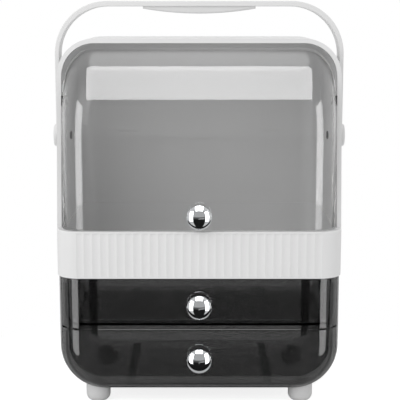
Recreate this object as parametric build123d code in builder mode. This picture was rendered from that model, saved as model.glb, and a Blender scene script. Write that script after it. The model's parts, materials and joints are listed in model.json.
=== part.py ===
from build123d import *
import math
import os

# Dustproof makeup organizer: a smoky drawer housing with two drawers, a white fluted tray above it,
# a white hood with a smoky lid in front, and a carrying handle over the top.
# Millimetres, +Z up, front towards -Y, origin on the table under the middle of the bounding box.

os.makedirs("parts", exist_ok=True)

# Driving dimensions of the body
WIDTH = 285.0
DEPTH = 180.0
BASE_BOTTOM = 14.0
DRAWER_SPLIT = 82.5
BAND_BOTTOM = 135.0
BAND_TOP = 182.0
HOOD_TOP = 369.0
FRONT_CORNER = 24.0
BASE_CORNER = 30.0
REAR_CORNER = 30.0
BASE_INSET = 0.6  # the housing and drawer faces lie this far inside the fluted tray's outside
KNOB_OUT = 15.7  # from the face that carries a knob to the knob's tip

FRONT_Y = (KNOB_OUT - BASE_INSET - DEPTH) / 2
BACK_Y = FRONT_Y + DEPTH

OVERRUN = 10.0  # cutting shapes reach this far past what they cut
HOLE_SPARE = 1.0  # screw holes are this much longer than their screws
JOIN = 1.0  # added parts reach this far into the wall they stand on


def behind(distance):
    """Y of a point that lies this far behind the front of the body."""
    return FRONT_Y + distance


# Drawer housing and shelf
BOTTOM_CORNER = 46.0
HOUSING_WALL = 3.0
HOUSING_FRONT = 17.0  # the housing starts this far behind the front
SHELF_THICKNESS = 2.6
SHELF_FRONT = 25.0
SHELF_BACK = 149.0
LEDGE = 2.5  # width and height of the ledges that carry the shelf
RUNNER_WIDTH = 8.0
RUNNER_X = 70.0
POST_RADIUS = 5.0
POST_X = 121.0
POST_SETBACK = 166.0

# Drawers
FACE_THICKNESS = 3.0
FACE_BACK = 16.0  # the faces wrap the corners this far back
FACE_GAP = 2.0  # between the two drawer faces
TRAY_GAP = 1.0  # between the upper face and the fluted tray
BOX_HALF = 133.5
BOX_WALL = 2.5
BOX_BACK = 160.0
LOWER_BOX_BOTTOM = BASE_BOTTOM + 9.0
LOWER_BOX_TOP = DRAWER_SPLIT - 5.0
LOWER_BOX_CORNER = 37.0
UPPER_BOX_BOTTOM = DRAWER_SPLIT + 4.0
UPPER_BOX_TOP = BAND_BOTTOM - 7.0
UPPER_BOX_CORNER = 12.0
RUNNER_GAP = 0.3

# Fluted tray
TRAY_WALL = 6.0
TRAY_FLOOR = 3.0
FLUTE_COUNT = 30
FLUTE_PITCH = 8.13
FLUTE_DEPTH = 0.9
FLUTE_RIDGE = 0.8
FLUTE_MARGIN = 1.6  # plain rim above and below the flutes
TRAY_CHAMFER = 0.75

# Hood
HOOD_WALL = 4.5
HOOD_CORNER = 37.0
RIM_LOW = 24.0  # setback of the hood's front rim at the tray
RIM_HIGH = 50.0  # and at the top
REAR_SEAM = BAND_TOP - 7.0  # the back wall reaches down to here
REAR_SEAM_HALF = 108.0
REAR_SEAM_GAP = 0.15
SLOT_LENGTH = 22.0
SLOT_HEIGHT = 2.2
SLOT_DEPTH = 1.2
SLOTS = [(-80.0, 263.5), (80.0, 263.5), (0.0, 254.0)]

# Lid
LID_HALF = WIDTH / 2 - HOOD_WALL - 0.7
LID_WALL = 2.8
LID_SETBACK = 3.0
LID_BOTTOM = BAND_TOP + 1.2
LID_CURVE = 107.0
LID_CURVE_Z = HOOD_TOP - 98.5
LID_TOP = HOOD_TOP - 9.4  # height of the lid's rear edge, about
LID_CORNER = 31.5
LID_OVERLAP = 2.0  # the lid's open edge reaches this far behind the hood's rim

# Lid hinges: an arm of each side of the lid turns on a pin in the hood's side wall
HINGE_SETBACK = 50.0
HINGE_Z = 308.0
ARM_RADIUS = 5.0
ARM_FRONT = 36.0  # the arms start this far behind the front
HINGE_PIN_RADIUS = 1.8
HINGE_PIN_DEPTH = 3.2  # in the hood's wall
HINGE_HEAD_RADIUS = 3.0
HINGE_HEAD = 1.2
HINGE_PLAY = 0.1  # between a pin's head and the arm

# Handle
PIVOT_Z = 268.0
PIVOT_SETBACK = DEPTH / 2
HANDLE_TOP = 406.3
HANDLE_HALF = 148.2
HANDLE_THICKNESS = 4.5
HANDLE_TOP_THICKNESS = 5.6
HANDLE_WIDTH = 24.0
HANDLE_CORNER = 54.0
HANDLE_EDGE = 1.0
HANDLE_END_FLAT = 0.02  # left at the arms' round ends
GRIP_HALF = 57.5
GRIP_END = 2.2
GRIP_DROP = 7.2
GRIP_WIDTH = 20.0
GRIP_EDGE = 1.8
PIVOT_RADIUS = 3.0
RUNNING_CLEARANCE = 0.05
BOSS_RADIUS = 9.0
PIVOT_SCREW_RADIUS = 1.5
PIVOT_SCREW_HEAD = 5.0
PIVOT_SCREW_HEAD_HEIGHT = 1.8
PIVOT_SCREW_LENGTH = 7.0
WASHER_THICKNESS = 0.7
PIN_HEAD_RADIUS = 4.2
PIN_HEAD = 1.8
CAP_RADIUS = 11.5
CAP_HEIGHT = 3.3
CAP_RECESS_RADIUS = 5.6
CAP_RECESS = 2.4

# Knobs
KNOB_RADIUS = 12.5
KNOB_EDGE = 3.0  # radius of the rounded rim
KNOB_NECK = 6.0
KNOB_NECK_LENGTH = 6.0
LID_KNOB_Z = 197.5
UPPER_KNOB_Z = 107.4
LOWER_KNOB_Z = 53.0
KNOB_SCREW_RADIUS = 2.0
KNOB_SCREW_HEAD = 4.0
KNOB_SCREW_HEAD_HEIGHT = 2.4
KNOB_THREAD = 8.0  # depth of the hole in a knob

# Feet
FOOT_RADIUS = 12.4
FOOT_ROUND = 7.5
FOOT_X = 104.0
FOOT_FRONT = 30.0
FOOT_REAR = 140.0
FOOT_BLEND = 5.0  # how far a foot reaches up beside the curved underside
FOOT_RECESS_RADIUS = 3.7
FOOT_RECESS = 5.0
FOOT_SCREW_RADIUS = 2.0
FOOT_SCREW_HEAD = 3.4
FOOT_SCREW_HEAD_HEIGHT = 2.2
FOOT_BOSS_RADIUS = 5.0
FOOT_BOSS_TOP = BASE_BOTTOM + 8.0
FOOT_HOLE_TOP = BASE_BOTTOM + 7.0

# Tray screws
TRAY_SCREW_RADIUS = 1.8
TRAY_SCREW_HEAD = 3.6
TRAY_SCREW_HEAD_HEIGHT = 2.2
TRAY_SCREW_HOLE = 16.0  # depth of the holes in the posts

SIDES = {"left": -1, "right": 1}


def save(builder, name):
    """Label a finished piece and write its file."""
    builder.part.label = name
    export_step(builder.part, f"parts/{name}.step")


def plan_outline(inset):
    """Plan of the tray: small corners in front, larger ones behind."""
    with BuildSketch() as outline:
        with Locations((0, (FRONT_Y + BACK_Y) / 2)):
            Rectangle(WIDTH - 2 * inset, DEPTH - 2 * inset)
        rows = outline.vertices().group_by(Axis.Y)
        fillet(rows[0], FRONT_CORNER - inset)
        fillet(outline.vertices().group_by(Axis.Y)[-1], REAR_CORNER - inset)
    return outline.sketch


def arch_outline(half, bottom, top, corner):
    """Front view of an arch: square at the foot, rounded at the top."""
    with BuildSketch() as outline:
        with Locations((0, (bottom + top) / 2)):
            Rectangle(2 * half, top - bottom)
        fillet(outline.vertices().group_by(Axis.Y)[-1], corner)
    return outline.sketch


def trough_outline(half, bottom, top, corner):
    """Front view of a trough: rounded at the bottom, square at the top."""
    with BuildSketch() as outline:
        with Locations((0, (bottom + top) / 2)):
            Rectangle(2 * half, top - bottom)
        fillet(outline.vertices().group_by(Axis.Y)[0], corner)
    return outline.sketch


def base_form(inset, top):
    """Outside of the drawer section, moved inwards by inset, with softly rounded front and back."""
    bottom = BASE_BOTTOM + inset
    half = WIDTH / 2 - BASE_INSET - inset
    front = FRONT_Y + BASE_INSET + inset
    back = BACK_Y - BASE_INSET - inset
    outline = trough_outline(half, bottom, top, BOTTOM_CORNER - inset)
    with BuildPart() as form:
        with BuildSketch(Plane.XZ.offset(-back)):
            add(outline)
        extrude(amount=back - front)
        front_loop = form.faces().sort_by(Axis.Y)[0].edges().sort_by(Axis.Z)[:-1]
        fillet(front_loop, BASE_CORNER - inset)
        rear_loop = form.faces().sort_by(Axis.Y)[-1].edges().sort_by(Axis.Z)[:-1]
        fillet(rear_loop, REAR_CORNER - inset)
    return form.part


def rim_y(height):
    """Y of the hood's slanted front rim at a height."""
    share = (height - BAND_TOP) / (HOOD_TOP - BAND_TOP)
    return behind(RIM_LOW + (RIM_HIGH - RIM_LOW) * share)


def hood_form(inset, bottom):
    """Outside of the hood, moved inwards by inset, before its front is cut to the slanted rim."""
    top = HOOD_TOP - inset
    back = BACK_Y - inset
    outline = arch_outline(WIDTH / 2 - inset, bottom, top, HOOD_CORNER - inset)
    with BuildPart() as form:
        with BuildSketch(Plane.XZ.offset(-back)):
            add(outline)
        extrude(amount=back - FRONT_Y)
        rear_loop = form.faces().sort_by(Axis.Y)[-1].edges().sort_by(Axis.Z)[1:]
        fillet(rear_loop, REAR_CORNER - inset)
    return form.part


def lid_form(inset, overrun):
    """Solid form of the lid; the inner one is smaller by inset and overruns the open sides."""
    front = behind(LID_SETBACK) + inset
    curve_y = behind(LID_SETBACK) + LID_CURVE
    radius = LID_CURVE - inset
    bottom = LID_BOTTOM - overrun
    rear_top = rim_y(LID_TOP) + LID_OVERLAP + overrun
    top = LID_CURVE_Z + math.sqrt(radius**2 - (curve_y - rear_top) ** 2)
    rear_bottom = rim_y(LID_BOTTOM) + LID_OVERLAP + overrun
    with BuildPart() as form:
        with BuildSketch(Plane.YZ):
            with BuildLine():
                Line((front, bottom), (front, LID_CURVE_Z))
                TangentArc((front, LID_CURVE_Z), (rear_top, top), tangent=(0, 1))
                Polyline((rear_top, top), (rear_bottom, bottom), (front, bottom))
            make_face()
        extrude(amount=LID_HALF - inset, both=True)
        front_edges = form.edges().filter_by(Axis.Z)
        curved_edges = form.edges().filter_by(GeomType.CIRCLE)
        fillet(front_edges + curved_edges, LID_CORNER - inset)
    return form.part


# Solid forms that several pieces are cut from
base_outside = base_form(0, BAND_BOTTOM)
base_inside = base_form(HOUSING_WALL, BAND_BOTTOM + HOUSING_WALL)
face_inside = base_form(FACE_THICKNESS, BAND_BOTTOM + FACE_THICKNESS)
hood_outside = hood_form(0, BAND_TOP)
hood_inside = hood_form(HOOD_WALL, BAND_TOP - HOOD_WALL)
lid_outside = lid_form(0, 0)
lid_inside = lid_form(LID_WALL, OVERRUN)
tray_outline = plan_outline(0)
tray_hollow = plan_outline(TRAY_WALL)

foot_places = [
    (side * FOOT_X, behind(setback))
    for setback in (FOOT_FRONT, FOOT_REAR)
    for side in SIDES.values()
]
post_places = [(side * POST_X, behind(POST_SETBACK)) for side in SIDES.values()]
housing_floor = BASE_BOTTOM + HOUSING_WALL
shelf_bottom = DRAWER_SPLIT - SHELF_THICKNESS / 2
shelf_top = DRAWER_SPLIT + SHELF_THICKNESS / 2
shelf_half = WIDTH / 2 - BASE_INSET - HOUSING_WALL - RUNNER_GAP
shelf_length = SHELF_BACK - SHELF_FRONT
shelf_middle = behind(SHELF_FRONT + shelf_length / 2)

# Drawer housing: one smoky moulding, open in front and on top
with BuildPart() as drawer_housing:
    add(base_outside)
    add(base_inside, mode=Mode.SUBTRACT)
    with BuildSketch(Plane.XY):
        with Locations((0, behind(HOUSING_FRONT))):
            Rectangle(2 * WIDTH, DEPTH, align=(Align.CENTER, Align.MAX))
    extrude(amount=HOOD_TOP, mode=Mode.SUBTRACT)
    # runners under the lower drawer
    with BuildSketch(Plane.XY.offset(housing_floor - HOUSING_WALL / 2)):
        with Locations((-RUNNER_X, shelf_middle), (RUNNER_X, shelf_middle)):
            Rectangle(RUNNER_WIDTH, shelf_length)
    extrude(amount=LOWER_BOX_BOTTOM - RUNNER_GAP - housing_floor + HOUSING_WALL / 2)
    # ledges that carry the shelf
    with BuildSketch(Plane.XY.offset(shelf_bottom - LEDGE)):
        for side in SIDES.values():
            with Locations((side * (shelf_half + JOIN - LEDGE / 2), shelf_middle)):
                Rectangle(LEDGE + 2 * JOIN, shelf_length)
    extrude(amount=LEDGE)
    # screw posts behind the drawers
    with BuildSketch(Plane.XY.offset(housing_floor - HOUSING_WALL / 2)):
        with Locations(*post_places):
            Circle(POST_RADIUS)
    extrude(amount=BAND_BOTTOM - housing_floor + HOUSING_WALL / 2)
    # bosses over the feet
    with BuildSketch(Plane.XY.offset(housing_floor - HOUSING_WALL / 2)):
        with Locations(*foot_places):
            Circle(FOOT_BOSS_RADIUS)
    extrude(amount=FOOT_BOSS_TOP - housing_floor + HOUSING_WALL / 2)
    add(base_outside, mode=Mode.INTERSECT)
    with BuildSketch(Plane.XY):
        with Locations(*foot_places):
            Circle(FOOT_SCREW_RADIUS)
    extrude(amount=FOOT_HOLE_TOP, mode=Mode.SUBTRACT)
    with BuildSketch(Plane.XY.offset(BAND_BOTTOM)):
        with Locations(*post_places):
            Circle(TRAY_SCREW_RADIUS)
    extrude(amount=-TRAY_SCREW_HOLE, mode=Mode.SUBTRACT)
save(drawer_housing, "drawer_housing")

# Shelf between the drawers, with two runners for the upper drawer
with BuildPart() as drawer_shelf:
    with BuildSketch(Plane.XY.offset(shelf_bottom)):
        with Locations((0, shelf_middle)):
            Rectangle(2 * shelf_half, shelf_length)
    extrude(amount=SHELF_THICKNESS)
    with BuildSketch(Plane.XY.offset(shelf_top)):
        with Locations((-RUNNER_X, shelf_middle), (RUNNER_X, shelf_middle)):
            Rectangle(RUNNER_WIDTH, shelf_length)
    extrude(amount=UPPER_BOX_BOTTOM - RUNNER_GAP - shelf_top)
save(drawer_shelf, "drawer_shelf")


def face_screw_hole(height):
    """Disc, seen from the front, where a knob's screw passes a face."""
    with BuildSketch() as hole:
        with Locations((0, height)):
            Circle(KNOB_SCREW_RADIUS + RUNNING_CLEARANCE)
    return hole.sketch


def drawer(name, bottom, top, box_bottom, box_top, box_corner, knob_z):
    """A drawer moulded in one: a full-width face that wraps the corners, and a box behind it."""
    outside = trough_outline(BOX_HALF, box_bottom, box_top, box_corner)
    hollow = trough_outline(
        BOX_HALF - BOX_WALL, box_bottom + BOX_WALL, box_top + BOX_WALL, box_corner - BOX_WALL
    )
    hole = face_screw_hole(knob_z)
    with BuildPart() as box:
        with BuildSketch(Plane.XZ.offset(-behind(BOX_BACK))):
            add(outside)
        extrude(amount=BOX_BACK)
        add(base_outside, mode=Mode.INTERSECT)
    with BuildPart() as cavity:
        with BuildSketch(Plane.XZ.offset(-behind(BOX_BACK - BOX_WALL))):
            add(hollow)
        extrude(amount=BOX_BACK)
        add(face_inside, mode=Mode.INTERSECT)
    with BuildPart() as piece:
        add(base_outside)
        add(face_inside, mode=Mode.SUBTRACT)
        with Locations((0, behind(FACE_BACK), (bottom + top) / 2)):
            Box(
                WIDTH,
                DEPTH,
                top - bottom,
                align=(Align.CENTER, Align.MAX, Align.CENTER),
                mode=Mode.INTERSECT,
            )
        add(box.part)
        add(cavity.part, mode=Mode.SUBTRACT)
        with BuildSketch(Plane.XZ.offset(-behind(BASE_INSET + FACE_THICKNESS))):
            add(hole)
        extrude(amount=2 * FACE_THICKNESS, mode=Mode.SUBTRACT)
    save(piece, name)


drawer(
    "lower_drawer",
    BASE_BOTTOM,
    DRAWER_SPLIT - FACE_GAP / 2,
    LOWER_BOX_BOTTOM,
    LOWER_BOX_TOP,
    LOWER_BOX_CORNER,
    LOWER_KNOB_Z,
)
drawer(
    "upper_drawer",
    DRAWER_SPLIT + FACE_GAP / 2,
    BAND_BOTTOM - TRAY_GAP,
    UPPER_BOX_BOTTOM,
    UPPER_BOX_TOP,
    UPPER_BOX_CORNER,
    UPPER_KNOB_Z,
)

# Fluted tray: the white band with the floor of the upper compartment
flute_chord = FLUTE_PITCH - FLUTE_RIDGE
flute_radius = ((flute_chord / 2) ** 2 + FLUTE_DEPTH**2) / (2 * FLUTE_DEPTH)
with BuildPart() as fluted_tray:
    with BuildSketch(Plane.XY.offset(BAND_BOTTOM)):
        add(tray_outline)
    extrude(amount=BAND_TOP - BAND_BOTTOM)
    with BuildSketch(Plane.XY.offset(BAND_BOTTOM + TRAY_FLOOR)):
        add(tray_hollow)
    extrude(amount=BAND_TOP - BAND_BOTTOM, mode=Mode.SUBTRACT)
    chamfer(fluted_tray.faces().sort_by(Axis.Z)[-1].outer_wire().edges(), TRAY_CHAMFER)
    # flutes across the front
    with BuildSketch(Plane.XY.offset(BAND_BOTTOM + FLUTE_MARGIN)):
        with Locations((0, FRONT_Y - flute_radius + FLUTE_DEPTH)):
            with GridLocations(FLUTE_PITCH, 0, FLUTE_COUNT, 1):
                Circle(flute_radius)
    extrude(amount=BAND_TOP - BAND_BOTTOM - 2 * FLUTE_MARGIN, mode=Mode.SUBTRACT)
    # seat for the hood's back wall
    with Locations((0, BACK_Y, BAND_TOP)):
        Box(
            2 * (REAR_SEAM_HALF + REAR_SEAM_GAP),
            2 * (HOOD_WALL + REAR_SEAM_GAP),
            2 * (BAND_TOP - REAR_SEAM + REAR_SEAM_GAP),
            mode=Mode.SUBTRACT,
        )
    with BuildSketch(Plane.XY.offset(BAND_BOTTOM)):
        with Locations(*post_places):
            Circle(TRAY_SCREW_RADIUS + RUNNING_CLEARANCE)
    extrude(amount=TRAY_FLOOR, mode=Mode.SUBTRACT)
save(fluted_tray, "fluted_tray")

pivot_y = behind(PIVOT_SETBACK)
hinge_y = behind(HINGE_SETBACK)
arm_inside = HANDLE_HALF - HANDLE_THICKNESS
boss_end = arm_inside - RUNNING_CLEARANCE - WASHER_THICKNESS
screw_seat = HANDLE_HALF + 2 * RUNNING_CLEARANCE
hood_side = WIDTH / 2 - HOOD_WALL  # inner face of a side wall

# Rear hood: the white arch that holds the back, sides and top, with bosses for the handle
with BuildPart() as rear_hood:
    add(hood_outside)
    add(hood_inside, mode=Mode.SUBTRACT)
    with BuildSketch(Plane.YZ):
        with BuildLine():
            Polyline(
                (FRONT_Y - OVERRUN, BAND_TOP - OVERRUN),
                (rim_y(BAND_TOP - OVERRUN), BAND_TOP - OVERRUN),
                (rim_y(HOOD_TOP + OVERRUN), HOOD_TOP + OVERRUN),
                (FRONT_Y - OVERRUN, HOOD_TOP + OVERRUN),
                close=True,
            )
        make_face()
    extrude(amount=WIDTH, both=True, mode=Mode.SUBTRACT)
    # the back wall reaches down into the tray
    with Locations((0, BACK_Y, REAR_SEAM)):
        Box(
            2 * REAR_SEAM_HALF,
            HOOD_WALL,
            BAND_TOP - REAR_SEAM + JOIN,
            align=(Align.CENTER, Align.MAX, Align.MIN),
        )
    # marks moulded into the back wall
    with BuildSketch(Plane.XZ.offset(-(BACK_Y - HOOD_WALL + SLOT_DEPTH))):
        with Locations(*SLOTS):
            SlotOverall(SLOT_LENGTH, SLOT_HEIGHT)
    extrude(amount=2 * SLOT_DEPTH, mode=Mode.SUBTRACT)
    # holes for the lid's hinge pins
    with BuildSketch(Plane.YZ):
        with Locations((hinge_y, HINGE_Z)):
            Circle(HINGE_PIN_RADIUS)
    extrude(amount=hood_side + HINGE_PIN_DEPTH, both=True, mode=Mode.SUBTRACT)
    # bosses that keep the handle's arms off the walls
    for side in SIDES.values():
        with BuildSketch(Plane.YZ.offset(side * (WIDTH / 2 - HOOD_WALL / 2))):
            with Locations((pivot_y, PIVOT_Z)):
                Circle(BOSS_RADIUS)
        extrude(amount=side * (boss_end - WIDTH / 2 + HOOD_WALL / 2))
    with BuildSketch(Plane.YZ):
        with Locations((pivot_y, PIVOT_Z)):
            Circle(PIVOT_RADIUS + RUNNING_CLEARANCE)
    extrude(amount=WIDTH, both=True, mode=Mode.SUBTRACT)
save(rear_hood, "rear_hood")

lid_hole = face_screw_hole(LID_KNOB_Z)
arm_inner = LID_HALF - LID_WALL

# Lid cover: smoky shell with a hinge arm at each side
with BuildPart() as lid_cover:
    add(lid_outside)
    add(lid_inside, mode=Mode.SUBTRACT)
    for side in SIDES.values():
        with BuildSketch(Plane.YZ.offset(side * arm_inner)):
            with Locations((hinge_y, HINGE_Z)):
                Circle(ARM_RADIUS)
                Rectangle(
                    HINGE_SETBACK - ARM_FRONT, 2 * ARM_RADIUS, align=(Align.MAX, Align.CENTER)
                )
        extrude(amount=side * LID_WALL)
    with BuildSketch(Plane.YZ):
        with Locations((hinge_y, HINGE_Z)):
            Circle(HINGE_PIN_RADIUS + RUNNING_CLEARANCE)
    extrude(amount=WIDTH / 2, both=True, mode=Mode.SUBTRACT)
    with BuildSketch(Plane.XZ.offset(-behind(LID_SETBACK + 2 * LID_WALL))):
        add(lid_hole)
    extrude(amount=3 * LID_WALL, mode=Mode.SUBTRACT)
save(lid_cover, "lid_cover")

# Hinge pins of the lid, with their heads inside
for side_name, side in SIDES.items():
    head_outer = arm_inner - HINGE_PLAY
    with BuildPart() as hinge_pin:
        with BuildSketch(Plane.YZ.offset(side * head_outer)):
            with Locations((hinge_y, HINGE_Z)):
                Circle(HINGE_HEAD_RADIUS)
        extrude(amount=-side * HINGE_HEAD)
        with BuildSketch(Plane.YZ.offset(side * head_outer)):
            with Locations((hinge_y, HINGE_Z)):
                Circle(HINGE_PIN_RADIUS)
        extrude(amount=side * (hood_side + HINGE_PIN_DEPTH - head_outer))
    save(hinge_pin, f"lid_hinge_pin_{side_name}")

# Handle: a flat strap bent over the top, with round ends at the pivots
bail_outside = arch_outline(HANDLE_HALF, PIVOT_Z - HANDLE_WIDTH / 2, HANDLE_TOP, HANDLE_CORNER)
bail_inside = arch_outline(
    arm_inside,
    PIVOT_Z - HANDLE_WIDTH,
    HANDLE_TOP - HANDLE_TOP_THICKNESS,
    HANDLE_CORNER - HANDLE_THICKNESS,
)
with BuildPart() as handle_bail:
    with BuildSketch(Plane.XZ.offset(-(pivot_y + HANDLE_WIDTH / 2))):
        add(bail_outside)
        add(bail_inside, mode=Mode.SUBTRACT)
    extrude(amount=HANDLE_WIDTH)
    arm_ends = handle_bail.edges().filter_by(Axis.X).group_by(Axis.Z)[0]
    fillet(arm_ends, (HANDLE_WIDTH - HANDLE_END_FLAT) / 2)
    broad_faces = handle_bail.faces().sort_by(Axis.Y)
    fillet(broad_faces[0].edges() + broad_faces[-1].edges(), HANDLE_EDGE)
    with BuildSketch(Plane.YZ):
        with Locations((pivot_y, PIVOT_Z)):
            Circle(PIVOT_RADIUS + RUNNING_CLEARANCE)
    extrude(amount=WIDTH, both=True, mode=Mode.SUBTRACT)
save(handle_bail, "handle_bail")

# Grip: a bulged bar under the middle of the handle
grip_top = HANDLE_TOP - HANDLE_TOP_THICKNESS
with BuildPart() as handle_grip:
    with BuildSketch(Plane.XZ.offset(-(pivot_y + GRIP_WIDTH / 2))):
        with BuildLine():
            Polyline(
                (-GRIP_HALF, grip_top - GRIP_END),
                (-GRIP_HALF, grip_top),
                (GRIP_HALF, grip_top),
                (GRIP_HALF, grip_top - GRIP_END),
            )
            ThreePointArc(
                (GRIP_HALF, grip_top - GRIP_END),
                (0, grip_top - GRIP_DROP),
                (-GRIP_HALF, grip_top - GRIP_END),
            )
        make_face()
    extrude(amount=GRIP_WIDTH)
    fillet(handle_grip.edges().filter_by(GeomType.CIRCLE), GRIP_EDGE)
save(handle_grip, "handle_grip")

# Handle pivots: a headed pin from inside, a washer, a retaining screw and a cap on each side
for side_name, side in SIDES.items():
    with BuildPart() as pivot_pin:
        with BuildSketch(Plane.YZ.offset(side * hood_side)):
            with Locations((pivot_y, PIVOT_Z)):
                Circle(PIN_HEAD_RADIUS)
        extrude(amount=-side * PIN_HEAD)
        with BuildSketch(Plane.YZ.offset(side * (hood_side - PIN_HEAD))):
            with Locations((pivot_y, PIVOT_Z)):
                Circle(PIVOT_RADIUS)
        extrude(amount=side * (screw_seat - hood_side + PIN_HEAD))
        with BuildSketch(Plane.YZ.offset(side * screw_seat)):
            with Locations((pivot_y, PIVOT_Z)):
                Circle(PIVOT_SCREW_RADIUS)
        extrude(amount=-side * (PIVOT_SCREW_LENGTH + HOLE_SPARE), mode=Mode.SUBTRACT)
    save(pivot_pin, f"handle_pivot_pin_{side_name}")

    with BuildPart() as handle_cap:
        with BuildSketch(Plane.YZ.offset(side * HANDLE_HALF)):
            with Locations((pivot_y, PIVOT_Z)):
                Circle(CAP_RADIUS)
        extrude(amount=side * CAP_HEIGHT)
        outer_face = handle_cap.faces().sort_by(Axis.X)[-1 if side > 0 else 0]
        fillet(outer_face.edges(), CAP_HEIGHT / 2)
        with BuildSketch(Plane.YZ.offset(side * HANDLE_HALF)):
            with Locations((pivot_y, PIVOT_Z)):
                Circle(CAP_RECESS_RADIUS)
        extrude(amount=side * CAP_RECESS, mode=Mode.SUBTRACT)
    save(handle_cap, f"handle_cap_{side_name}")

with BuildPart() as pivot_washers:
    for side in SIDES.values():
        with BuildSketch(Plane.YZ.offset(side * boss_end)):
            with Locations((pivot_y, PIVOT_Z)):
                Circle(BOSS_RADIUS)
                Circle(PIVOT_RADIUS + RUNNING_CLEARANCE, mode=Mode.SUBTRACT)
        extrude(amount=side * WASHER_THICKNESS)
save(pivot_washers, "handle_pivot_washers")

with BuildPart() as pivot_screws:
    for side in SIDES.values():
        with BuildSketch(Plane.YZ.offset(side * screw_seat)):
            with Locations((pivot_y, PIVOT_Z)):
                Circle(PIVOT_SCREW_HEAD)
        extrude(amount=side * PIVOT_SCREW_HEAD_HEIGHT)
        with BuildSketch(Plane.YZ.offset(side * screw_seat)):
            with Locations((pivot_y, PIVOT_Z)):
                Circle(PIVOT_SCREW_RADIUS)
        extrude(amount=-side * PIVOT_SCREW_LENGTH)
save(pivot_screws, "handle_pivot_screws")


def knob(prefix, face_setback, inner_setback, height):
    """A round domed knob on a short neck, held by a screw from inside."""
    face_y = behind(face_setback)
    rim_radius = KNOB_RADIUS - KNOB_EDGE
    rim_out = KNOB_NECK_LENGTH + KNOB_EDGE
    rise = KNOB_OUT - rim_out
    dome_radius = (rim_radius**2 + rise**2 - KNOB_EDGE**2) / (2 * (rise - KNOB_EDGE))
    reach = KNOB_EDGE / (dome_radius - KNOB_EDGE)
    seam = (rim_radius * (1 + reach), rim_out + (dome_radius - rise) * reach)
    with BuildPart() as body:
        profile = Plane(origin=(0, face_y, height), x_dir=(1, 0, 0), z_dir=(0, 0, -1))
        with BuildSketch(profile):
            with BuildLine():
                Polyline(
                    (0, KNOB_OUT),
                    (0, 0),
                    (KNOB_NECK, 0),
                    (KNOB_NECK, KNOB_NECK_LENGTH),
                    (rim_radius, KNOB_NECK_LENGTH),
                )
                TangentArc((rim_radius, KNOB_NECK_LENGTH), seam, tangent=(1, 0))
                TangentArc((0, KNOB_OUT), seam, tangent=(1, 0))
            make_face()
        revolve(axis=Axis((0, face_y, height), (0, -1, 0)))
        with BuildSketch(Plane.XZ.offset(-face_y)):
            with Locations((0, height)):
                Circle(KNOB_SCREW_RADIUS)
        extrude(amount=KNOB_THREAD, mode=Mode.SUBTRACT)
    save(body, f"{prefix}_knob")

    inner_y = behind(inner_setback)
    with BuildPart() as screw:
        with BuildSketch(Plane.XZ.offset(-inner_y)):
            with Locations((0, height)):
                Circle(KNOB_SCREW_HEAD)
        extrude(amount=-KNOB_SCREW_HEAD_HEIGHT)
        with BuildSketch(Plane.XZ.offset(-inner_y)):
            with Locations((0, height)):
                Circle(KNOB_SCREW_RADIUS)
        extrude(amount=inner_y - face_y + KNOB_THREAD - HOLE_SPARE)
    save(screw, f"{prefix}_knob_screw")


knob("lid", LID_SETBACK, LID_SETBACK + LID_WALL, LID_KNOB_Z)
knob("upper_drawer", BASE_INSET, BASE_INSET + FACE_THICKNESS, UPPER_KNOB_Z)
knob("lower_drawer", BASE_INSET, BASE_INSET + FACE_THICKNESS, LOWER_KNOB_Z)

# Feet: round pads with a screw in a recess, shaped to the curved underside
for end, setback in (("front", FOOT_FRONT), ("rear", FOOT_REAR)):
    for side_name, side in SIDES.items():
        with BuildPart() as foot:
            with BuildSketch(Plane.XY):
                with Locations((side * FOOT_X, behind(setback))):
                    Circle(FOOT_RADIUS)
            extrude(amount=BASE_BOTTOM + FOOT_BLEND)
            fillet(foot.faces().sort_by(Axis.Z)[0].edges(), FOOT_ROUND)
            add(base_outside, mode=Mode.SUBTRACT)
            with BuildSketch(Plane.XY):
                with Locations((side * FOOT_X, behind(setback))):
                    Circle(FOOT_RECESS_RADIUS)
            extrude(amount=FOOT_RECESS, mode=Mode.SUBTRACT)
            with BuildSketch(Plane.XY):
                with Locations((side * FOOT_X, behind(setback))):
                    Circle(FOOT_SCREW_RADIUS + RUNNING_CLEARANCE)
            extrude(amount=HOOD_TOP, mode=Mode.SUBTRACT)
        save(foot, f"foot_{end}_{side_name}")

with BuildPart() as foot_screws:
    with BuildSketch(Plane.XY.offset(FOOT_RECESS - FOOT_SCREW_HEAD_HEIGHT)):
        with Locations(*foot_places):
            Circle(FOOT_SCREW_HEAD)
    extrude(amount=FOOT_SCREW_HEAD_HEIGHT)
    with BuildSketch(Plane.XY.offset(FOOT_RECESS)):
        with Locations(*foot_places):
            Circle(FOOT_SCREW_RADIUS)
    extrude(amount=FOOT_HOLE_TOP - FOOT_RECESS - HOLE_SPARE)
save(foot_screws, "foot_screws")

with BuildPart() as tray_screws:
    tray_floor_top = BAND_BOTTOM + TRAY_FLOOR
    with BuildSketch(Plane.XY.offset(tray_floor_top)):
        with Locations(*post_places):
            Circle(TRAY_SCREW_HEAD)
    extrude(amount=TRAY_SCREW_HEAD_HEIGHT)
    with BuildSketch(Plane.XY.offset(tray_floor_top)):
        with Locations(*post_places):
            Circle(TRAY_SCREW_RADIUS)
    extrude(amount=-(TRAY_SCREW_HOLE + TRAY_FLOOR - HOLE_SPARE))
save(tray_screws, "tray_screws")
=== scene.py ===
# %% [markdown]
# # A dustproof makeup organizer
#
# The object is a tabletop box of moulded plastic: a white hood and a fluted white tray, a smoky lid
# that swings up, two dark smoky drawers below, round chrome knobs, four feet and a carrying handle.
#
# Its pieces come ready made as a fixed frame, one mesh for each, at their real size in metres. What this
# script adds is what the eye needs: the finish of every surface, the fasteners in full, the light
# and the camera. Nothing in the frame is moved or reshaped.

# %% The frame
import json
import math

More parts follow.
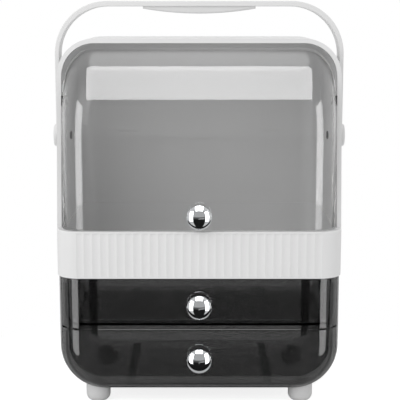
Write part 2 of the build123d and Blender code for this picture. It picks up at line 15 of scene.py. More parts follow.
import bpy
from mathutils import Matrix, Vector


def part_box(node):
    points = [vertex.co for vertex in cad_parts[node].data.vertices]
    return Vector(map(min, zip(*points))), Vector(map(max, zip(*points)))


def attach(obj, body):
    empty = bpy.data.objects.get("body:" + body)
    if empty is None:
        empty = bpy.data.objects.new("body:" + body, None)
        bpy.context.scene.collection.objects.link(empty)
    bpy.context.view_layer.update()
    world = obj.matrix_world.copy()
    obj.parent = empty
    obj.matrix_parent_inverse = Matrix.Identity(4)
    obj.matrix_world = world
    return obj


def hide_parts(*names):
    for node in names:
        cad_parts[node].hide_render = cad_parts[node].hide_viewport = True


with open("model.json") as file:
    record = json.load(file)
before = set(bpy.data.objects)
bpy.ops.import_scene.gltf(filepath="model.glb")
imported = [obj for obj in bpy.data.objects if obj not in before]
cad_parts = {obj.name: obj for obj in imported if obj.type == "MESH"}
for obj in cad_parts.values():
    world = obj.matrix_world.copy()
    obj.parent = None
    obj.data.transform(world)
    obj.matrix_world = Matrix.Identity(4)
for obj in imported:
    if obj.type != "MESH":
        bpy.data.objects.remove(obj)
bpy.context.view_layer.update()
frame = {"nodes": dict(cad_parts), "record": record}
MM = 0.001
print("pieces in the frame:", len(frame["nodes"]))

# %% [markdown]
# ## Helpers for materials
#
# Colours are written as sRGB hex values, as a paint program shows them. Cycles works with linear light,
# so one function turns each value. A second function adds a node to a tree, sets its options and fills
# its inputs: a value goes in as it is, and a socket is linked. Patterns are given by their real size in
# millimetres, and a third function turns that into the number that a noise texture takes.


# %% Colours and nodes
def linear(hex_colour):
    """Linear RGBA of an sRGB hex colour, by the curve of the sRGB standard."""
    channels = [int(hex_colour[i : i + 2], 16) / 255 for i in (1, 3, 5)]
    return [c / 12.92 if c <= 0.04045 else ((c + 0.055) / 1.055) ** 2.4 for c in channels] + [1.0]


def add_node(tree, kind, inputs=None, **options):
    """A node with its options set and its inputs filled or linked."""
    node = tree.nodes.new(kind)
    for name, value in options.items():
        setattr(node, name, value)
    for name, value in (inputs or {}).items():
        if isinstance(value, bpy.types.NodeSocket):
            tree.links.new(value, node.inputs[name])
        else:
            node.inputs[name].default_value = value
    return node


def empty_material(name):
    """A material with an empty node tree, and its output node."""
    material = bpy.data.materials.new(name)
    material.use_nodes = True
    material.node_tree.nodes.clear()
    output = add_node(material.node_tree, "ShaderNodeOutputMaterial")
    return material, output


def noise_scale(size):
    """The scale of a noise texture whose patches are so many millimetres long."""
    return 1 / (size * MM)


print("mid grey #808080 is", round(linear("#808080")[0], 3), "in linear light")

# %% [markdown]
# ## The camera
#
# The photograph was taken from about a metre in front of the box, a little above its middle, looking
# slightly down: the knobs' tops show and the feet are seen from above. The distance, the tilt and the
# lens were fitted to the heights of the knobs, the band and the feet.

# %% Camera
CAMERA_DISTANCE = 1.090  # in front of the tray
CAMERA_HEIGHT = 0.3984
CAMERA_TILT = 9.6  # degrees below the horizon
CAMERA_ASIDE = 0.0008
LENS = 101.8  # millimetres
SENSOR_WIDTH = 36  # millimetres

front_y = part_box("fluted_tray")[0].y
camera_data = bpy.data.cameras.new("camera")
camera_data.sensor_width = SENSOR_WIDTH
camera_data.lens = LENS
camera = bpy.data.objects.new("camera", camera_data)
camera.location = (CAMERA_ASIDE, front_y - CAMERA_DISTANCE, CAMERA_HEIGHT)
camera.rotation_euler = (math.radians(90 - CAMERA_TILT), 0, 0)
bpy.context.scene.collection.objects.link(camera)
bpy.context.scene.camera = camera
print("camera at", [round(c, 3) for c in camera.location])

# %% [markdown]
# ## The light
#
# Matt surfaces are lit from all around by the world, and by one soft panel in front on the left that
# gives them their shading. Glossy and see-through surfaces show what they mirror instead, so five
# more panels are there for them alone. The one overhead is the pale band across the top of the lid. A
# tall pair to the sides gives the upright streaks in the rounded corners of the lid, and a fainter pair
# below it those of the drawers. Where they stand follows from where their mirror images lie.
#
# A panel is placed as a photographer would do it: so far from the point it faces, so many degrees to the
# right of the front and so many degrees up. Lamps could be given in watts, but a mirror image shows a
# lamp's brightness and not its power. So each panel is given its radiance, and the power follows from
# that and from its area.

# %% Soft panels
PANELS = [
    # name, point it faces, degrees right and up, distance, width, height, radiance
    ("soft_light", (0.0, 0.0, 0.22), -38.3, 31.1, 1.414, 0.90, 0.90, 2.1),
    ("mirrored_top", (0.0, -0.06, 0.33), 0.0, 60.84, 1.383, 1.30, 1.08, 5.5),
    ("mirrored_left", (0.0, -0.08, 0.5), -55.5, 0.0, 1.3, 0.58, 1.00, 5.0),
    ("mirrored_right", (0.0, -0.08, 0.5), 55.5, 0.0, 1.3, 0.58, 1.00, 5.0),
    ("mirrored_low_left", (0.0, -0.08, -0.225), -55.5, 0.0, 1.3, 0.58, 0.45, 3.3),
    ("mirrored_low_right", (0.0, -0.08, -0.225), 55.5, 0.0, 1.3, 0.58, 0.45, 3.3),
]


def soft_panel(name, target, right, up, distance, width, height, radiance):
    """An area lamp of a given brightness that faces a point of the object."""
    lamp = bpy.data.lights.new(name, "AREA")
    lamp.shape = "RECTANGLE"
    lamp.size = width
    lamp.size_y = height
    lamp.energy = radiance * math.pi * width * height
    right, up = math.radians(right), math.radians(up)
    level = math.cos(up)
    away = Vector((math.sin(right) * level, -math.cos(right) * level, math.sin(up)))
    panel = bpy.data.objects.new(name, lamp)
    panel.location = Vector(target) + distance * away
    panel.rotation_euler = (-away).to_track_quat("-Z", "Y").to_euler()
    mirrored = name.startswith("mirrored")
    panel.visible_diffuse = not mirrored
    panel.visible_glossy = mirrored
    bpy.context.scene.collection.objects.link(panel)
    return panel


panels = [soft_panel(*panel_facts) for panel_facts in PANELS]
print("soft panels:", len(panels))

# %% [markdown]
# ## The room around
#
# The world is an even fill for matt surfaces. Glossy rays find a room in it. To know which part of the
# room a ray meets, its direction is taken apart: how far it points up, where 1 is straight overhead, how
# far it turns from the front to the right, and how far it turns to either side.

# %% Directions
world = bpy.data.worlds.new("studio")
world.use_nodes = True
world.node_tree.nodes.clear()
bpy.context.scene.world = world
sky = world.node_tree

direction = add_node(sky, "ShaderNodeTexCoord").outputs["Generated"]
along = add_node(sky, "ShaderNodeSeparateXYZ", {"Vector": direction}).outputs
forwards = add_node(sky, "ShaderNodeMath", {0: along["Y"], 1: -1.0}, operation="MULTIPLY").outputs[0]
turn = add_node(sky, "ShaderNodeMath", {0: along["X"], 1: forwards}, operation="ARCTAN2").outputs[0]
aside = add_node(sky, "ShaderNodeMath", {0: turn}, operation="ABSOLUTE").outputs[0]
room = {"up": along["Z"], "turn": turn, "aside": aside}
print("measures of a direction:", list(room))

# %% [markdown]
# The room is grey in front above the horizon and almost black in front below it, with the pale edge of a
# table between, which gets lighter to the right. It is light grey at the sides, white behind and bright
# straight overhead. A picture of a room could be mirrored instead, but a few soft steps give all that the
# small knobs and the dark drawers show. Each step starts from an earlier one and blends into the next.

# %% Mirrored room
ROOM_STEPS = [
    # result, measure, where the blend starts and ends, brightness before and after it
    ("table", "turn", -0.14, 0.14, 0.10, 0.80),
    ("table_edge", "up", -0.19, -0.11, "table", 0.08),
    ("below", "up", -0.212, -0.20, 0.012, "table_edge"),
    ("front", "up", -0.03, 0.03, "below", 0.43),
    ("sides", "aside", math.radians(78), math.radians(95), 0.6, 1.0),
    ("around", "aside", math.radians(42), math.radians(43.5), "front", "sides"),
    ("whole", "up", 0.96, 0.985, "around", 3.4),
]
for result, measure, start, end, before, after in ROOM_STEPS:
    room[result] = add_node(
        sky,
        "ShaderNodeMapRange",
        {
            "Value": room[measure],
            "From Min": start,
            "From Max": end,
            "To Min": room.get(before, before),
            "To Max": room.get(after, after),
        },
    ).outputs[0]
print("blends in the room:", len(ROOM_STEPS))

# %% [markdown]
# Which rays find the room is up to the Light Path node. Rays that reach the background straight from the
# camera or through plastic find plain white, mirrored rays find the room, and all others find the fill.

# %% World
FILL = 0.86
WHITE = 1.0


def seen_straight(tree):
    """1 for rays straight from the camera or through plastic, 0 for all others."""
    ray = add_node(tree, "ShaderNodeLightPath").outputs
    return add_node(
        tree,
        "ShaderNodeMath",
        {0: ray["Is Camera Ray"], 1: ray["Is Transmission Ray"]},
        operation="MAXIMUM",
    ).outputs[0]


mirrored = add_node(sky, "ShaderNodeLightPath").outputs["Is Glossy Ray"]
level = add_node(
    sky, "ShaderNodeMix", {"Factor": mirrored, "A": FILL, "B": room["whole"]}, data_type="FLOAT"
).outputs[0]
level = add_node(
    sky, "ShaderNodeMix", {"Factor": seen_straight(sky), "A": level, "B": WHITE}, data_type="FLOAT"
).outputs[0]
studio = add_node(sky, "ShaderNodeBackground", {"Color": linear("#ffffff"), "Strength": level})
add_node(sky, "ShaderNodeOutputWorld", {"Surface": studio.outputs[0]})
print("world nodes:", len(sky.nodes))

# %% [markdown]
# ## The floor
#
# A white sheet lies under the box. It reaches far behind, and it ends a little in front of the box,
# because the drawers mirror lamps that hang lower than it. Near the box it shows the soft shadow of
# the feet. Further away it glows as white as the world, so that no horizon shows. A backdrop that curves
# up behind the box would do too, but it would have to be lit evenly. What the knobs mirror of the sheet
# in front of the box is as dark as the room there.

# %% White sheet
SHEET_GLOW = 0.82  # added to the lit sheet, so that the shadow stays faint
FLOOR_DARK = 0.102  # the part further in front than this is dark in mirrors
FLOOR_FADE = (0.14, 0.30)  # where the lit sheet turns into plain white, from the box's middle


def white_sheet():
    """The floor's material: lit white near the box, glowing white further away."""
    material, output = empty_material("white_sheet")
    tree = material.node_tree
    place = add_node(tree, "ShaderNodeTexCoord").outputs["Object"]
    distance = add_node(tree, "ShaderNodeVectorMath", {0: place}, operation="LENGTH")
    far = add_node(
        tree,
        "ShaderNodeMapRange",
        {"Value": distance.outputs["Value"], "From Min": FLOOR_FADE[0], "From Max": FLOOR_FADE[1]},
        interpolation_type="SMOOTHSTEP",
    )
    lit = add_node(tree, "ShaderNodeBsdfDiffuse", {"Color": linear("#c8c8c8")})
    glow = add_node(tree, "ShaderNodeEmission", {"Color": linear("#ffffff"), "Strength": SHEET_GLOW})
    near = add_node(tree, "ShaderNodeAddShader", {0: lit.outputs[0], 1: glow.outputs[0]})
    plain = add_node(tree, "ShaderNodeEmission", {"Color": linear("#ffffff"), "Strength": WHITE})
    shown = add_node(
        tree, "ShaderNodeMixShader", {0: far.outputs[0], 1: near.outputs[0], 2: plain.outputs[0]}
    )
    mirrored = add_node(tree, "ShaderNodeLightPath").outputs["Is Glossy Ray"]
    along = add_node(tree, "ShaderNodeSeparateXYZ", {"Vector": place})
    before = add_node(
        tree, "ShaderNodeMath", {0: along.outputs["Y"], 1: -FLOOR_DARK}, operation="LESS_THAN"
    )
    dark = add_node(tree, "ShaderNodeMath", {0: before.outputs[0], 1: mirrored}, operation="MULTIPLY")
    tone = add_node(
        tree,
        "ShaderNodeMix",
        {"Factor": dark.outputs[0], 6: linear("#e6e6e6"), 7: linear("#202020")},
        data_type="RGBA",
    )
    sheet = add_node(tree, "ShaderNodeBsdfDiffuse", {"Color": tone.outputs[2]})
    picked = add_node(
        tree, "ShaderNodeMixShader", {0: seen_straight(tree), 1: sheet.outputs[0], 2: shown.outputs[0]}
    )
    tree.links.new(picked.outputs[0], output.inputs["Surface"])
    print(material.name, "nodes:", len(tree.nodes))
    return material


sheet_white = white_sheet()

# %% Floor
FLOOR_FRONT = 0.16
FLOOR_SIDE = 3.0
FLOOR_BACK = 12.0

floor_mesh = bpy.data.meshes.new("floor")
floor_mesh.from_pydata(
    [
        (-FLOOR_SIDE, -FLOOR_FRONT, 0),
        (FLOOR_SIDE, -FLOOR_FRONT, 0),
        (FLOOR_SIDE, FLOOR_BACK, 0),
        (-FLOOR_SIDE, FLOOR_BACK, 0),
    ],
    [],
    [(0, 1, 2, 3)],
)
floor = bpy.data.objects.new("floor", floor_mesh)
floor.data.materials.append(sheet_white)
bpy.context.scene.collection.objects.link(floor)
print("floor from", -FLOOR_FRONT, "to", FLOOR_BACK, "m")

# %% [markdown]
# ## Moulded ABS
#
# The hood, the tray and the handle are injection-moulded ABS: an opaque white with a soft gloss. Its
# surface copies the steel mould, so it is nearly smooth, with a faint unevenness a few centimetres
# long where the plastic shrank, and a fine grain. A plain white shader would do from afar, but it looks
# like paper. A noise pattern that changes tone and gloss by very little makes it plastic.


# %% Moulded plastic
PLASTIC_IOR = 1.53  # between acrylic's 1.49 and polystyrene's 1.59
SHRINK_SIZE = 35.7  # millimetres
GRAIN_SIZE = 0.714  # millimetres; the real grain is finer than 0.1, too fine to show in the render
GRAIN_STRENGTH = 0.35
GLOSS_SPREAD = 0.05


def moulded_plastic(name, pale, deep, roughness, grain):
    """Opaque moulded plastic. grain is the height of its fine texture in millimetres."""
    material, output = empty_material(name)
    tree = material.node_tree
    place = add_node(tree, "ShaderNodeTexCoord").outputs["Object"]
    flow = add_node(
        tree, "ShaderNodeTexNoise", {"Vector": place, "Scale": noise_scale(SHRINK_SIZE), "Detail": 2.0}
    )
    colour = add_node(
        tree,
        "ShaderNodeMix",
        {"Factor": flow.outputs["Fac"], 6: linear(deep), 7: linear(pale)},
        data_type="RGBA",
    )
    gloss = add_node(
        tree,
        "ShaderNodeMapRange",
        {
            "Value": flow.outputs["Fac"],
            "To Min": roughness - GLOSS_SPREAD,
            "To Max": roughness + GLOSS_SPREAD,
        },
    )
    fine = add_node(
        tree, "ShaderNodeTexNoise", {"Vector": place, "Scale": noise_scale(GRAIN_SIZE), "Detail": 2.0}
    )
    bumps = add_node(
        tree,
        "ShaderNodeBump",
        {"Height": fine.outputs["Fac"], "Strength": GRAIN_STRENGTH, "Distance": grain * MM},
    )
    surface = add_node(
        tree,
        "ShaderNodeBsdfPrincipled",
        {
            "Base Color": colour.outputs[2],
            "Roughness": gloss.outputs[0],
            "IOR": PLASTIC_IOR,
            "Normal": bumps.outputs[0],
        },
    )
    tree.links.new(surface.outputs[0], output.inputs["Surface"])
    print(material.name, "nodes:", len(tree.nodes))
    return material


# ABS from a polished mould: soft mirror images, so edges and reeds catch the light
white_abs = moulded_plastic("white_moulded_abs", "#e2e2e2", "#dedede", 0.32, 0.012)
# ABS from an eroded mould: satin, so the grip looks even and a little greyer
grip_plastic = moulded_plastic("satin_grip_abs", "#dcdcdc", "#d6d6d6", 0.45, 0.02)
# a softer plastic from an eroded mould: the feet are satin and the greyest of the whites
foot_plastic = moulded_plastic("satin_foot_plastic", "#d8d8d8", "#d0d0d0", 0.5, 0.02)
# nylon, dyed almost black: the heads of the handle's pins show as dark dots through the lid
dark_pin = moulded_plastic("dark_nylon_pin", "#3a3a3a", "#303030", 0.4, 0.015)

# %% [markdown]
# ## Smoked polystyrene
#
# The lid and the drawers are clear plastic with a grey dye in it, injection-moulded and polished. The dye
# takes its share of light for every millimetre of plastic, so a wall that is seen on edge looks much darker
# than one seen flat. A see-through grey surface would miss that, and a volume that absorbs light gives
# exactly that. The surface refracts and mirrors like glass. Light from the lamps can't find its way
# through a refracting wall, so the surface lets it pass straight on, and only the dye dims it.


# %% Smoked plastic
RIPPLE_SIZE = 45.5  # millimetres; walls this thin are never quite flat
RIPPLE_HEIGHT = 0.2  # millimetres
RIPPLE_STRENGTH = 0.15


def smoked_plastic(name, tint, density, roughness):
    """Clear dyed plastic. density is the dye's strength per metre."""
    material, output = empty_material(name)
    tree = material.node_tree
    place = add_node(tree, "ShaderNodeTexCoord").outputs["Object"]
    ripple = add_node(
        tree, "ShaderNodeTexNoise", {"Vector": place, "Scale": noise_scale(RIPPLE_SIZE), "Detail": 1.0}
    )
    bumps = add_node(
        tree,
        "ShaderNodeBump",
        {
            "Height": ripple.outputs["Fac"],
            "Strength": RIPPLE_STRENGTH,
            "Distance": RIPPLE_HEIGHT * MM,
        },
    )
    clear = add_node(
        tree,
        "ShaderNodeBsdfPrincipled",
        {
            "Base Color": linear("#ffffff"),
            "Roughness": roughness,
            "IOR": PLASTIC_IOR,
            "Transmission Weight": 1.0,
            "Normal": bumps.outputs[0],
        },
    )
    passing = add_node(tree, "ShaderNodeBsdfTransparent", {"Color": linear("#ffffff")})
    ray = add_node(tree, "ShaderNodeLightPath")
    lighting = add_node(
        tree,
        "ShaderNodeMath",
        {0: ray.outputs["Is Shadow Ray"], 1: ray.outputs["Is Diffuse Ray"]},
        operation="MAXIMUM",
    )
    surface = add_node(
        tree, "ShaderNodeMixShader", {0: lighting.outputs[0], 1: clear.outputs[0], 2: passing.outputs[0]}
    )
    dye = add_node(tree, "ShaderNodeVolumeAbsorption", {"Color": linear(tint), "Density": density})
    tree.links.new(surface.outputs[0], output.inputs["Surface"])
    tree.links.new(dye.outputs[0], output.inputs["Volume"])
    print(material.name, "nodes:", len(tree.nodes))
    return material


# the lid is lightly dyed, so that the white hood shows through it as a light grey
smoky_lid = smoked_plastic("smoked_polystyrene_lid", "#808080", 120.0, 0.02)
# the drawers and their housing hold three times as much of a darker dye and look nearly black
smoky_drawer = smoked_plastic("smoked_polystyrene_drawer", "#404040", 360.0, 0.03)
smoky_housing = smoked_plastic("smoked_polystyrene_housing", "#404040", 360.0, 0.03)

# %% [markdown]
# ## Metals
#
# The knobs are plated with chrome, a bluish white mirror. The screws are zinc-plated steel, greyer and a
# little rough. Both are a metallic shader whose roughness changes a little from place to place, because
# a perfectly even mirror looks computed.


# %% Metals
ROUGHNESS_SPREAD = 0.3  # share of the roughness


def plated_metal(name, tone, roughness, patch_size):
    """A plated metal; patch_size is how long its faint patches are, in millimetres."""
    material, output = empty_material(name)
    tree = material.node_tree
    place = add_node(tree, "ShaderNodeTexCoord").outputs["Object"]
    cloud = add_node(
        tree, "ShaderNodeTexNoise", {"Vector": place, "Scale": noise_scale(patch_size), "Detail": 3.0}
    )
    gloss = add_node(
        tree,
        "ShaderNodeMapRange",
        {
            "Value": cloud.outputs["Fac"],
            "To Min": roughness * (1 - ROUGHNESS_SPREAD),
            "To Max": roughness * (1 + ROUGHNESS_SPREAD),
        },
    )
    surface = add_node(
        tree,
        "ShaderNodeBsdfPrincipled",
        {"Base Color": linear(tone), "Metallic": 1.0, "Roughness": gloss.outputs[0]},
    )
    tree.links.new(surface.outputs[0], output.inputs["Surface"])
    print(material.name, "nodes:", len(tree.nodes))
    return material


# polished before it is plated: the whole room shows in each dome
chrome = plated_metal("chrome_plating", "#e8eaec", 0.04, 3.33)
# plated in a drum: every screw has a soft, even shine
zinc_steel = plated_metal("zinc_plated_steel", "#a8a9a6", 0.3, 1.11)

# %% [markdown]
# ## Giving the pieces their finish
#
# Each piece of the frame brings a slot with the name of its finish. A material could be put on each piece
# by hand, but one table from slot to material does it for all of them, and no piece is forgotten.

# %% Finishes
FINISHES = {
    "white_abs": white_abs,
    "grip_plastic": grip_plastic,
    "foot_plastic": foot_plastic,
    "dark_pin": dark_pin,
    "smoky_lid": smoky_lid,
    "smoky_drawer": smoky_drawer,
    "smoky_housing": smoky_housing,
    "chrome": chrome,
    "steel": zinc_steel,
}
slot_of = {part["node"]: part["material_slot"] for part in frame["record"]["subparts"]}
for node_name, piece in frame["nodes"].items():
    for material_slot in piece.material_slots:
        material_slot.material = FINISHES[slot_of[node_name]]
print("finishes:", len(FINISHES))

# %% [markdown]
# The mirrored panels are meant for the smoky and the chrome pieces alone. Light linking keeps them off the
# white ones, which would lose their shading in the glare.

# %% Who sees the mirrored panels
MIRRORING_SLOTS = ("smoky_lid", "smoky_drawer", "smoky_housing", "chrome")

mirroring = bpy.data.collections.new("mirroring_pieces")
for node_name, piece in frame["nodes"].items():
    if slot_of[node_name] in MIRRORING_SLOTS:
        mirroring.objects.link(piece)
for panel in panels:
    if panel.visible_glossy:
        panel.light_linking.receiver_collection = mirroring

# %% [markdown]
# ## Screws
#
# Pan-head screws with a cross recess hold the feet, the tray, the handle's pins and the knobs. A screw
# could be modelled by hand, but all of them follow one rule and differ only in size, so one Geometry Nodes
# tree makes them. It starts with an input for each size, and a fixed seed for how far each screw is turned.

# %% Screw inputs
SCREW_INPUTS = {
    "Head Radius": 3.5,
    "Head Height": 2.2,
    "Thread Radius": 2.0,
    "Length": 15.0,
    "Thread Pitch": 1.4,
    "Recess Width": 0.9,
    "Recess Depth": 1.2,
}  # millimetres
SCREW_SEED = 7

screws = bpy.data.node_groups.new("pan_head_screws", "GeometryNodeTree")
screws.interface.new_socket("Geometry", in_out="INPUT", socket_type="NodeSocketGeometry")
for label, size in SCREW_INPUTS.items():
    socket = screws.interface.new_socket(label, in_out="INPUT", socket_type="NodeSocketFloat")
    socket.default_value = size * MM
seed = screws.interface.new_socket("Seed", in_out="INPUT", socket_type="NodeSocketInt")
seed.default_value = SCREW_SEED
screws.interface.new_socket("Geometry", in_out="OUTPUT", socket_type="NodeSocketGeometry")
given = add_node(screws, "NodeGroupInput").outputs
print("sockets of the screw tree:", len(screws.interface.items_tree))

# %% [markdown]
# All other sizes of a screw follow from its inputs, so the tree works them out with Math nodes. This
# table holds one of them a line. Its last part is the dome of the head: it starts from where a point of
# the flat head is, and ends with the height that this point gets.

# %% Sizes worked out in the tree
CORE_SHARE = 0.78  # of the thread's radius
TIP_SHARE = 0.5  # of the core's radius
DOME_SHARE = 0.42  # of the head's height
CROSS_SPAN = 1.1  # head radii
BARE_TURNS = 1.5  # how much of the core has no thread, in turns

SCREW_STEPS = [
    # result, operation, and the two values: a number, an input or an earlier result
    ("half head", "DIVIDE", "Head Height", 2.0),
    ("bar length", "MULTIPLY", "Head Radius", CROSS_SPAN),
    ("bar height", "MULTIPLY", "Recess Depth", 2.0),
    ("core radius", "MULTIPLY", "Thread Radius", CORE_SHARE),
    ("tip radius", "MULTIPLY", "core radius", TIP_SHARE),
    ("ridge height", "SUBTRACT", "Thread Radius", "core radius"),
    ("core length", "SUBTRACT", "Length", "Thread Pitch"),
    ("core middle", "DIVIDE", "core length", -2.0),
    ("core end", "MULTIPLY", "core length", -1.0),
    ("screw end", "MULTIPLY", "Length", -1.0),
    ("bare length", "MULTIPLY", "Thread Pitch", BARE_TURNS),
    ("helix height", "SUBTRACT", "core length", "bare length"),
    ("helix turns", "DIVIDE", "helix height", "Thread Pitch"),
    ("way out", "DIVIDE", "from axis", "Head Radius"),
    ("share out", "MINIMUM", "way out", 1.0),
    ("share squared", "POWER", "share out", 2.0),
    ("what is left", "SUBTRACT", 1.0, "share squared"),
    ("rise", "SQRT", "what is left", 0.0),
    ("dome part", "MULTIPLY", "rise", DOME_SHARE),
    ("dome", "ADD", "dome part", 1 - DOME_SHARE),
    ("domed height", "MULTIPLY", "above seat", "dome"),
]
place = add_node(screws, "GeometryNodeInputPosition").outputs[0]
along = add_node(screws, "ShaderNodeSeparateXYZ", {"Vector": place}).outputs
flat = add_node(screws, "ShaderNodeCombineXYZ", {"X": along["X"], "Y": along["Y"]}).outputs[0]
from_axis = add_node(screws, "ShaderNodeVectorMath", {0: flat}, operation="LENGTH").outputs["Value"]

size_of = {label: given[label] for label in SCREW_INPUTS}
size_of |= {"from axis": from_axis, "above seat": along["Z"]}
for result, operation, first, second in SCREW_STEPS:
    values = {0: size_of.get(first, first), 1: size_of.get(second, second)}
    size_of[result] = add_node(screws, "ShaderNodeMath", values, operation=operation).outputs[0]
print("sizes of a screw:", len(size_of))

# %% [markdown]
# The head is a cylinder that stands on its seat. Its top has rings of points, which Set Position lifts
# to the dome.

# %% Domed head
HEAD_FACETS = 28
HEAD_RINGS = 7


def lifted(geometry, height):
    """A part of the screw, moved along the screw's axis."""
    offset = add_node(screws, "ShaderNodeCombineXYZ", {"Z": height}).outputs[0]
    return add_node(
        screws, "GeometryNodeTransform", {"Geometry": geometry, "Translation": offset}
    ).outputs[0]


blank = add_node(
    screws,
    "GeometryNodeMeshCylinder",
    {
        "Vertices": HEAD_FACETS,
        "Side Segments": 1,
        "Fill Segments": HEAD_RINGS,
        "Radius": size_of["Head Radius"],
        "Depth": size_of["Head Height"],
    },
).outputs["Mesh"]
domed = add_node(
    screws, "ShaderNodeCombineXYZ", {"X": along["X"], "Y": along["Y"], "Z": size_of["domed height"]}
).outputs[0]
head = add_node(
    screws,
    "GeometryNodeSetPosition",
    {"Geometry": lifted(blank, size_of["half head"]), "Position": domed},
).outputs[0]
print("points round a head:", HEAD_FACETS)

# %% [markdown]
# The cross recess is where a screwdriver goes. Two bars are laid across each other and taken away from the
# head. The exact solver is slower than the fast one, but it keeps the head whole.

# %% Cross recess
cross = add_node(screws, "GeometryNodeMeshBoolean", operation="UNION", solver="EXACT")
for long_side in ("X", "Y"):
    bar_sizes = {"X": size_of["Recess Width"], "Y": size_of["Recess Width"], "Z": size_of["bar height"]}
    bar_sizes[long_side] = size_of["bar length"]
    bar_size = add_node(screws, "ShaderNodeCombineXYZ", bar_sizes).outputs[0]
    bar = add_node(screws, "GeometryNodeMeshCube", {"Size": bar_size}).outputs["Mesh"]
    screws.links.new(lifted(bar, size_of["Head Height"]), cross.inputs["Mesh 2"])
carved_head = add_node(
    screws,
    "GeometryNodeMeshBoolean",
    {"Mesh 1": head, "Mesh 2": cross.outputs["Mesh"]},
    operation="DIFFERENCE",
    solver="EXACT",
).outputs["Mesh"]
print("bars in the cross:", len(cross.inputs["Mesh 2"].links))

# %% [markdown]
# Below the head is the core, a thin cylinder that ends in a blunt cone. The thread is a helix with a small
# three-sided profile, wound round the core. A real thread is cut or rolled out of the steel, but a helix
# laid round a core looks the same.

# %% Core and thread
CORE_FACETS = 20
THREAD_STEPS = 20  # points in one turn of the helix
PROFILE_SIDES = 3

core = add_node(
    screws,
    "GeometryNodeMeshCylinder",
    {"Vertices": CORE_FACETS, "Radius": size_of["core radius"], "Depth": size_of["core length"]},
).outputs["Mesh"]
tip = add_node(
    screws,
    "GeometryNodeMeshCone",
    {
        "Vertices": CORE_FACETS,
        "Radius Top": size_of["core radius"],
        "Radius Bottom": size_of["tip radius"],
        "Depth": size_of["Thread Pitch"],
    },
).outputs["Mesh"]
helix = add_node(
    screws,
    "GeometryNodeCurveSpiral",
    {
        "Resolution": THREAD_STEPS,
        "Rotations": size_of["helix turns"],
        "Start Radius": size_of["core radius"],
        "End Radius": size_of["core radius"],
        "Height": size_of["helix height"],
    },
).outputs[0]
profile = add_node(
    screws,
    "GeometryNodeCurvePrimitiveCircle",
    {"Resolution": PROFILE_SIDES, "Radius": size_of["ridge height"]},
).outputs["Curve"]
thread = add_node(
    screws, "GeometryNodeCurveToMesh", {"Curve": helix, "Profile Curve": profile, "Fill Caps": True}
).outputs[0]
screw = add_node(screws, "GeometryNodeJoinGeometry")
for part in (
    lifted(thread, size_of["core end"]),
    lifted(tip, size_of["screw end"]),
    lifted(core, size_of["core middle"]),
    carved_head,
):
    screws.links.new(part, screw.inputs["Geometry"])
print("parts of a screw:", len(screw.inputs["Geometry"].links))

# %% [markdown]
# Loose points say where the screws sit, and an attribute on each point says which way its head looks.
# One screw goes on each point and is turned at random about its own axis, as no fitter lines up the
# crosses. The copies are made real at the end, and get their material there.

# %% One screw on each point
axis = add_node(screws, "GeometryNodeInputNamedAttribute", {"Name": "axis"}, data_type="FLOAT_VECTOR")
upright = add_node(
    screws, "FunctionNodeAlignRotationToVector", {"Vector": axis.outputs["Attribute"]}, axis="Z"
)
spin = add_node(
    screws,
    "FunctionNodeRandomValue",
    {"Min": 0.0, "Max": math.pi, "Seed": given["Seed"]},
    data_type="FLOAT",
)
twist = add_node(screws, "ShaderNodeCombineXYZ", {"Z": spin.outputs["Value"]}).outputs[0]
turned = add_node(screws, "FunctionNodeEulerToRotation", {"Euler": twist}).outputs[0]
rotation = add_node(
    screws,
    "FunctionNodeRotateRotation",
    {"Rotation": upright.outputs[0], "Rotate By": turned},
    rotation_space="LOCAL",
)
placed = add_node(
    screws,
    "GeometryNodeInstanceOnPoints",
    {"Points": given["Geometry"], "Instance": screw.outputs[0], "Rotation": rotation.outputs[0]},
)
real = add_node(screws, "GeometryNodeRealizeInstances", {"Geometry": placed.outputs[0]})
finished = add_node(
    screws, "GeometryNodeSetMaterial", {"Geometry": real.outputs[0], "Material": zinc_steel}
)
result = add_node(screws, "NodeGroupOutput")
screws.links.new(finished.outputs[0], result.inputs["Geometry"])
print("nodes in the screw tree:", len(screws.nodes))

# %% [markdown]
# Each set of screws is a mesh of loose points with the tree on it. Its sizes go into the modifier by
# the sockets' identifiers. The evaluated result is then kept as a plain mesh, which stands for the
# plain cylinders of the frame and rides on the same body.


# %% A set of screws
def screw_set(name, places, axes, sizes, node, body):
    """Turned screws for one node of the frame. Places are in metres, sizes in millimetres."""
    points = bpy.data.meshes.new(name)
    points.from_pydata(places, [], [])
    attribute = points.attributes.new("axis", "FLOAT_VECTOR", "POINT")
    for index, axis in enumerate(axes):
        attribute.data[index].vector = axis
    holder = bpy.data.objects.new(name, points)
    bpy.context.scene.collection.objects.link(holder)
    modifier = holder.modifiers.new("screws", "NODES")
    modifier.node_group = screws
    for item in screws.interface.items_tree:
        if item.in_out == "INPUT" and item.name in sizes:
            modifier[item.identifier] = sizes[item.name] * MM
    graph = bpy.context.evaluated_depsgraph_get()
    turned = bpy.data.meshes.new_from_object(holder.evaluated_get(graph))
    holder.modifiers.remove(modifier)
    holder.data = turned
    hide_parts(node)
    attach(holder, body)
    print(name, "faces:", len(turned.polygons))
    return holder


def box_corners(node):
    """Lowest and highest corner of a node of the frame."""
    low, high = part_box(node)
    return Vector(low), Vector(high)


# %% [markdown]
# The four foot screws go up through the feet into the housing. Their places come from the box round the
# frame's plain screws: the heads touch its sides, and their tops lie in its lowest plane.

# %% Foot screws
FOOT_SCREW = {"Head Radius": 3.4, "Head Height": 2.2, "Thread Radius": 2.0}

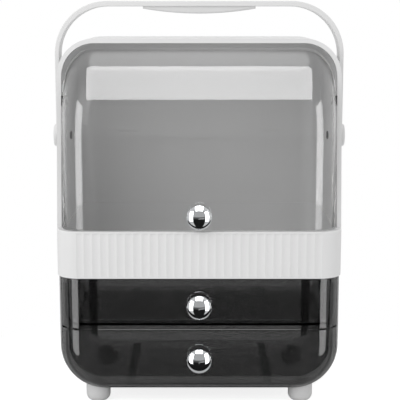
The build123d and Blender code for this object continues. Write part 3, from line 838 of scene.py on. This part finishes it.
low, high = box_corners("foot_screws")
inset = FOOT_SCREW["Head Radius"] * MM
seat = low.z + FOOT_SCREW["Head Height"] * MM
screw_set(
    "foot_screws_turned",
    [(x, y, seat) for x in (low.x + inset, high.x - inset) for y in (low.y + inset, high.y - inset)],
    [(0, 0, -1)] * 4,
    FOOT_SCREW | {"Length": (high.z - seat) / MM},
    "foot_screws",
    "casing",
)

# %% [markdown]
# Two screws go down through the floor of the tray into the housing. Their places are found in the same way,
# with the heads on top.

# %% Tray screws
TRAY_SCREW = {"Head Radius": 3.6, "Head Height": 2.2, "Thread Radius": 1.8}

low, high = box_corners("tray_screws")
inset = TRAY_SCREW["Head Radius"] * MM
seat = high.z - TRAY_SCREW["Head Height"] * MM
screw_set(
    "tray_screws_turned",
    [(x, (low.y + high.y) / 2, seat) for x in (low.x + inset, high.x - inset)],
    [(0, 0, 1)] * 2,
    TRAY_SCREW | {"Length": (seat - low.z) / MM},
    "tray_screws",
    "casing",
)

# %% [markdown]
# The handle turns on a pin at each side. A screw with a wide head goes into the end of each pin, under the
# handle's cap.

# %% Handle screws
PIVOT_SCREW = {"Head Radius": 5.0, "Head Height": 1.8, "Thread Radius": 1.5, "Length": 7.0}

low, high = box_corners("handle_pivot_screws")
middle = (low + high) / 2
seat = high.x - PIVOT_SCREW["Head Height"] * MM
screw_set(
    "handle_pivot_screws_turned",
    [(x, middle.y, middle.z) for x in (-seat, seat)],
    [(-1, 0, 0), (1, 0, 0)],
    PIVOT_SCREW,
    "handle_pivot_screws",
    "casing",
)

# %% [markdown]
# One screw holds each knob from behind. These ride on the lid and on the drawers.

# %% Knob screws
KNOB_SCREW = {"Head Radius": 4.0, "Head Height": 2.4, "Thread Radius": 2.0}

for prefix, body in (("lid", "lid"), ("upper_drawer", "drawer_upper"), ("lower_drawer", "drawer_lower")):
    low, high = box_corners(f"{prefix}_knob_screw")
    middle = (low + high) / 2
    seat = high.y - KNOB_SCREW["Head Height"] * MM
    screw_set(
        f"{prefix}_knob_screw_turned",
        [(middle.x, seat, middle.z)],
        [(0, 1, 0)],
        KNOB_SCREW | {"Length": (seat - low.y) / MM},
        f"{prefix}_knob_screw",
        body,
    )

# %% [markdown]
# ## The view
#
# The view transform turns linear light into the picture's colours. The default one gives soft highlights
# and greys the whites. Standard shows white as white, which suits a pale object on a white ground.

# %% View
bpy.context.scene.view_settings.view_transform = "Standard"
print("view transform:", bpy.context.scene.view_settings.view_transform)
